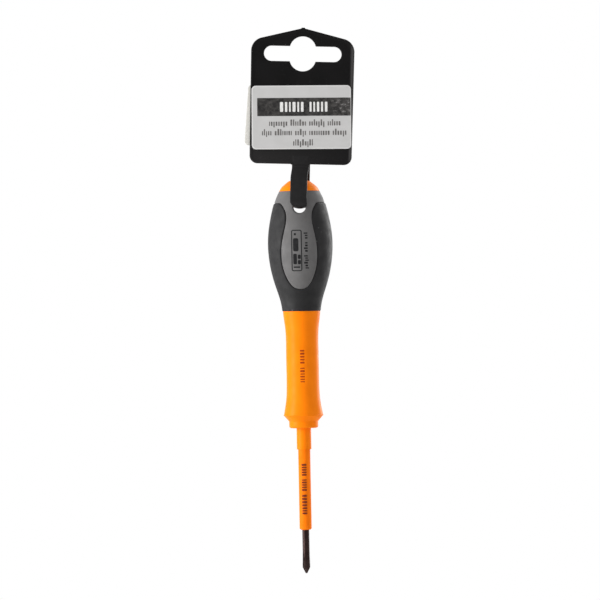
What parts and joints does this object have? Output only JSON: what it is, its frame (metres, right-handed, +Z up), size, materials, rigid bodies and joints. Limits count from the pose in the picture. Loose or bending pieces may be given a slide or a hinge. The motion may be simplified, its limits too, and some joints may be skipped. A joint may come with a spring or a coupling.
{
  "type": "insulated screwdriver",
  "caption": "Slim insulated cross-tip screwdriver with a barrel grip in hard and soft plastic, hanging by a strap from a flat shop tag.",
  "frame": {"origin": "point of the blade, on the tool's axis", "axes": "+Z up the tool's axis from the tip to the handle and the tag, -Y the front, with the front label, +X to the right seen from the front"},
  "size_m": [0.0461, 0.0278, 0.2254],
  "materials": {
    "blackened_steel": "chemically blackened, fine turned grain, worn brighter at the tip",
    "sleeve_plastic": "satin moulded insulation",
    "handle_plastic": "semi-gloss moulded",
    "grey_rubber": "fine matt texture",
    "dark_rubber": "fine matt texture",
    "black_plastic": "satin, finely scuffed",
    "silver_label": "satin silver paper",
    "cream_label": "uncoated paper"
  },
  "bodies": {
    "tag": {"tag_plate": "black_plastic", "strap_clip": "black_plastic", "front_label": "silver_label", "rear_label": "cream_label"},
    "strap": {"tag_strap": "black_plastic"},
    "tool": {"blade": "blackened_steel", "shaft_sleeve": "sleeve_plastic", "handle_core": "handle_plastic", "grey_shell": "grey_rubber", "soft_grip": "dark_rubber"}
  },
  "joints": [
    {"name": "tag_fold", "type": "hinge", "parent": "tag", "child": "strap", "pos_m": [0.00066, 0, 0.16769], "axis": [0.9992, 0, -0.0401], "range_deg": [-75, 75]},
    {"name": "tool_swing", "type": "hinge", "parent": "strap", "child": "tool", "pos_m": [0, 0, 0.1512], "axis": [0, 1, 0], "range_deg": [-75, 75]}
  ]
}
